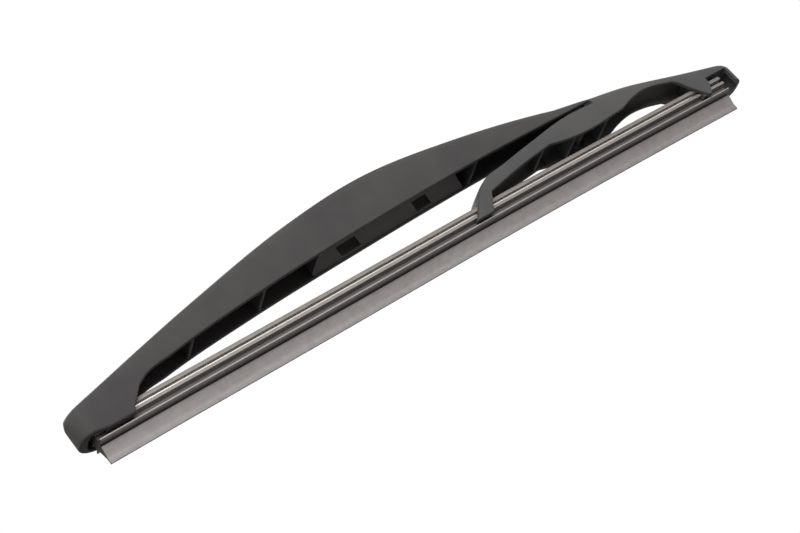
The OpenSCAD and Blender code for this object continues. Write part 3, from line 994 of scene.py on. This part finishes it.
@dataclass(frozen=True)
class RockingLever:
    """The lever under the yoke's tip, with its claws, pin, outer arm and end cap: one moulding."""

    claw_left: float = 139.4
    claw_foot: float = 6.3
    claw_rise: float = 0.68
    ankle: float = 145.9
    root: float = 149.8
    bulge_start: float = 177.5
    step: float = 201.15
    outer_leg: float = 232.5
    toe: float = 240.6
    window: Pair = (243.9, 253.4)
    window_top: float = 6.71
    foot_right: float = 241.9
    end: float = 257.35
    end_corner: float = 5.8
    # The nose in side view: how its back rounds over, and how little its sole rises
    nose_round: float = 2.5
    sole_round: float = 1.8
    sole_share: float = 0.15
    end_wall: float = 1.7
    wall: float = 1.5
    inner_radius: float = 1.2
    outer_radius: float = 2.8
    slot_half: Pair = (4.15, 5.9)
    pin_radius: float = 2.0
    rib_places: tuple[float, ...] = (175.5, 180.2, 188.0, 202.5)
    top: SmoothLine = SmoothLine(
        ((145.9, 9.6), (150.8, 12.6), (160, 14.15), (173, 16.05), (190, 18.1), (201.15, 17.8))
    )
    outer_top: SmoothLine = SmoothLine(((201.15, 20.35), (218.54, 17.8), (237.63, 13.3), (254.7, 9.0)))
    inner_low: SmoothLine = SmoothLine(((149.8, 7.8), (164.76, 10.4), (177.5, 11.85)))
    outer_low: SmoothLine = SmoothLine(
        (
            (177.5, 11.85),
            (184, 10.5),
            (194, 9.7),
            (204, 10.35),
            (209.13, 10.9),
            (213.4, 12.2),
            (219.96, 13.3),
            (225.95, 12.8),
            (232.5, 11.1),
        )
    )
    width: SmoothLine = SmoothLine(((139.4, 6.0), (177, 7.4), (210, 7.4), (232.5, 6.2), (257.2, 6.0)))

    def top_at(self, x: float) -> float:
        """Returns the height of the back at place x."""
        if x < self.ankle:
            low = CLAW_BOTTOM + self.claw_rise + 0.2
            return lerp(low, self.top.at(self.ankle), (x - self.claw_left) / (self.ankle - self.claw_left))
        if x <= self.step:
            return self.top.at(x)
        return self.outer_top.at(x) - drawn_in(self.end - x, self.nose_round)

    def half_at(self, x: float) -> float:
        """Returns half of the width at place x."""
        return self.width.at(x) - drawn_in(self.end - x, self.end_corner)

    def outer_edge(self) -> BentEdge:
        """Returns the lower edge from the outer arm down to the end claw."""
        start = (self.outer_leg, self.outer_low.at(self.outer_leg), 0)
        knee = (self.outer_leg + 1.8, 9.6, 2.0)
        heel, toe = (236.2, 6.6, 1.0), (self.toe, CLAW_BOTTOM, 0.3)
        return BentEdge((start, knee, heel, toe, (self.end, CLAW_BOTTOM, 0)))

    def low_at(self, x: float) -> float:
        """Returns the height of the lower edge at place x."""
        foot = self.claw_left + self.claw_foot
        sole = CLAW_BOTTOM + self.claw_rise
        if x < foot:
            return sole
        if x < self.root:
            return lerp(sole, self.inner_low.at(self.root), (x - foot) / (self.root - foot))
        if x < self.bulge_start:
            return self.inner_low.at(x)
        if x < self.outer_leg:
            return self.outer_low.at(x)
        return self.outer_edge().at(x) + self.sole_share * drawn_in(self.end - x, self.sole_round)

    def _shell(self) -> bpy.types.Object:
        """Returns the lever's channel with its closed right end."""
        places = steps(self.claw_left, self.root, 24) + steps(self.root + 0.7, self.step, 70)
        places += steps(self.step + 0.02, self.outer_leg, 44) + steps(self.outer_leg + 0.6, self.toe, 14)
        places += steps(self.toe + 1.5, self.end - self.end_corner - 0.4, 6)
        places += nose_steps(self.end, -self.end_corner, 16)[::-1]
        rings = []
        for x in places:
            corner = self.inner_radius if x <= self.step else self.outer_radius
            rings.append(channel_outside(self.half_at(x), self.low_at(x), self.top_at(x), corner))
        shell = loft("lever_shell", places, rings)
        hollow = steps(self.claw_left - 1, self.step, 60) + steps(self.step + 1.6, self.toe - 0.6, 30)
        rings = []
        for x in hollow:
            half = self.width.at(x) - self.wall
            rings.append(channel_inside(half, self.low_at(x), self.top_at(x) - self.wall, 1.6))
        return combine(shell, loft("lever_hollow", hollow, rings), Cut.REMOVE)

    def _cuts(self) -> list[bpy.types.Object]:
        """Returns the spaces that are cut out of the channel."""
        deep = CLAW_BOTTOM - 4
        left, right = self.window
        long_half, wide_half = self.slot_half
        inner_roof = ROOF_LOW + REFILL.rise(self.claw_left + self.claw_foot / 2)
        inside = self.end_corner - self.end_wall
        inner_far = (self.root - 1.5, ROOM_HALF, inner_roof)
        room = round_plan(self.toe - 4, self.end - self.end_wall, ROOM_HALF, inside, 10)
        side = [
            (left, self.window_top, 0),
            (left, CLAW_BOTTOM + 3.9, 0.8),
            (self.foot_right, CLAW_BOTTOM - 0.1, 0),
            (self.foot_right, deep, 0),
            (right, deep, 0),
            (right, self.window_top, 0),
        ]
        slot_top = self.outer_top.at(self.step)
        slot = brick(
            "ear_slot",
            (PIVOT_X - long_half, -wide_half, PIVOT_Z),
            (PIVOT_X + long_half, wide_half, slot_top),
        )
        return [
            brick("inner_room", (self.claw_left - 1, -ROOM_HALF, deep), inner_far),
            level_plate("end_room", room, deep, ROOF_LOW + REFILL.rise(self.toe)),
            side_plate("end_window", soften(side, 3), -15, 15),
            slot,
        ]

    def build(self) -> None:
        """Makes, dresses and places the lever."""
        piece = self._shell()
        for tool in self._cuts():
            combine(piece, tool, Cut.REMOVE)
        added = [cross_pin("pivot_pin", PIVOT_X, PIVOT_Z, self.pin_radius, self.slot_half[1] + 0.6)]
        for x in self.rib_places:
            half, ceiling = self.width.at(x) - self.wall, self.top_at(x) - self.wall
            added.append(cross_rib(x, half, self.low_at(x), ceiling))
        added += claw_lips(self.claw_left + 0.5, self.claw_left + self.claw_foot - 0.3, ROOM_HALF)
        added += claw_lips(self.toe - 1.4, self.foot_right, ROOM_HALF)
        for part in added:
            combine(piece, part, Cut.ADD)
        piece.name = piece.data.name = "lever_moulding"
        smooth(piece)
        dress(piece, LEVER_NYLON.make(), "lever_plastic", "lever")
        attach(piece, LEVER)


# Studio


@dataclass(frozen=True)
class SoftLamp:
    """A square lamp that faces the blade."""

    name: str
    place: Corner
    size: float
    power: float

    def build(self, aim: Vector) -> None:
        """Makes the lamp and turns it to a point."""
        lamp = bpy.data.lights.new(self.name, "AREA")
        lamp.size = self.size
        lamp.energy = self.power
        stand = bpy.data.objects.new(self.name, lamp)
        stand.location = self.place
        stand.rotation_euler = (aim - Vector(self.place)).to_track_quat("-Z", "Y").to_euler()
        bpy.context.scene.collection.objects.link(stand)


@dataclass(frozen=True)
class Studio:
    """The camera at the photograph's viewing angle, the floor, the white surround and the lamps."""

    azimuth: float = -30.61
    elevation: float = -19.31
    roll: float = -40.14
    distance: float = 610.26
    aim: Pair = (110.74, 3.19)
    lens: float = 90.993
    sensor: float = 36.0
    floor: float = -0.7
    floor_radius: float = 4.0
    ambient: float = 0.4
    lamp_aim: Corner = (125.0, 0.0, 10.0)
    lamps: tuple[SoftLamp, ...] = (
        SoftLamp("key_lamp", (-0.25, -1.12, 0.3), 0.8, 11.0),
        SoftLamp("back_lamp", (0.4, 1.0, 0.7), 0.8, 7.0),
    )

    def camera(self) -> None:
        """Makes the camera, rolled as the photograph is."""
        a, e, r = (math.radians(v) for v in (self.azimuth, self.elevation, self.roll))
        back = Vector((math.sin(a) * math.cos(e), -math.cos(a) * math.cos(e), math.sin(e)))
        level = Vector((0, 0, 1)).cross(back).normalized()
        upright = back.cross(level)
        right = level * math.cos(r) + upright * math.sin(r)
        up = upright * math.cos(r) - level * math.sin(r)
        data = bpy.data.cameras.new("camera")
        data.sensor_width = self.sensor
        data.lens = self.lens
        data.clip_start, data.clip_end = 0.01, 50
        camera = bpy.data.objects.new("camera", data)
        turned = Matrix((right, up, back)).transposed().to_4x4()
        turned.translation = row_point(self.aim[0], 0, self.aim[1]) + back * self.distance * MM
        camera.matrix_world = turned
        bpy.context.scene.collection.objects.link(camera)
        bpy.context.scene.camera = camera

    @staticmethod
    def seen(tree: bpy.types.NodeTree) -> bpy.types.NodeSocket:
        """Returns 1 for the camera's own rays and for reflected and transmitted ones, and else 0."""
        path = add_node(tree, "ShaderNodeLightPath")
        larger = {"operation": "MAXIMUM"}
        first = {0: path.outputs["Is Camera Ray"], 1: path.outputs["Is Glossy Ray"]}
        either = add_node(tree, "ShaderNodeMath", larger, first)
        second = {0: either.outputs[0], 1: path.outputs["Is Transmission Ray"]}
        return add_node(tree, "ShaderNodeMath", larger, second).outputs[0]

    def surround(self) -> None:
        """Makes the world: white to the eye and in reflections, softer as a light."""
        world = bpy.data.worlds.new("surround")
        bpy.context.scene.world = world
        world.use_nodes = True
        tree = world.node_tree
        tree.nodes.clear()
        white = linear("#ffffff")
        light = add_node(tree, "ShaderNodeBackground", {"Color": white, "Strength": self.ambient})
        shown = add_node(tree, "ShaderNodeBackground", {"Color": white, "Strength": 1.0})
        shares = {0: self.seen(tree), 1: light.outputs[0], 2: shown.outputs[0]}
        mix = add_node(tree, "ShaderNodeMixShader", links=shares)
        add_node(tree, "ShaderNodeOutputWorld", links={"Surface": mix.outputs[0]})

    def ground(self) -> None:
        """Makes the floor, pale to the eye and dark to the light that it would throw up at the blade."""
        angles = [math.radians(a) for a in range(0, 360, 6)]
        r = self.floor_radius
        rim = [Vector((r * math.cos(a), r * math.sin(a), self.floor)) for a in angles]
        floor = make_piece("floor", rim, [list(range(len(rim)))])
        material, tree, shader = new_material("pale_paper")
        place = add_node(tree, "ShaderNodeTexCoord").outputs["Object"]
        fibre_set = {"Scale": per_mm(6.0), "Detail": 4.0}
        fibre = add_node(tree, "ShaderNodeTexNoise", fibre_set, {"Vector": place})
        tone = add_node(tree, "ShaderNodeValToRGB", links={"Fac": fibre.outputs["Fac"]})
        colour_stops(tone.color_ramp, [(0.3, "#f1f0ee"), (0.7, "#f6f5f3")])
        seen = self.seen(tree)
        dark = {"data_type": "RGBA", 6: linear("#5c5c5c")}
        colour = add_node(tree, "ShaderNodeMix", dark, {0: seen, 7: tone.outputs["Color"]})
        tree.links.new(colour.outputs[2], shader.inputs["Base Color"])
        shader.inputs["Roughness"].default_value = 0.9
        # Part of the white comes from the paper itself, which evens it out and leaves the shadow in
        glow = add_node(tree, "ShaderNodeEmission", {"Color": linear("#f6f5f3"), "Strength": 1.0})
        part = add_node(tree, "ShaderNodeMath", {"operation": "MULTIPLY", 1: 0.6}, {0: seen})
        both = {0: part.outputs[0], 1: shader.outputs[0], 2: glow.outputs[0]}
        surface = add_node(tree, "ShaderNodeMixShader", links=both)
        tree.links.new(surface.outputs[0], tree.nodes["Material Output"].inputs["Surface"])
        floor.data.materials.append(material)

    def build(self) -> None:
        """Makes the whole studio."""
        self.camera()
        self.surround()
        self.ground()
        for lamp in self.lamps:
            lamp.build(row_point(*self.lamp_aim))
        bpy.context.scene.view_settings.view_transform = "Standard"
        LOG.info("studio: %d lamps", len(self.lamps))


def main() -> None:
    """Builds the blade and its studio."""
    logging.basicConfig(level=logging.INFO, format="%(name)s: %(message)s")
    Studio().build()
    MainYoke().build()
    RockingLever().build()
    REFILL.build()


if __name__ == "__main__":
    main()
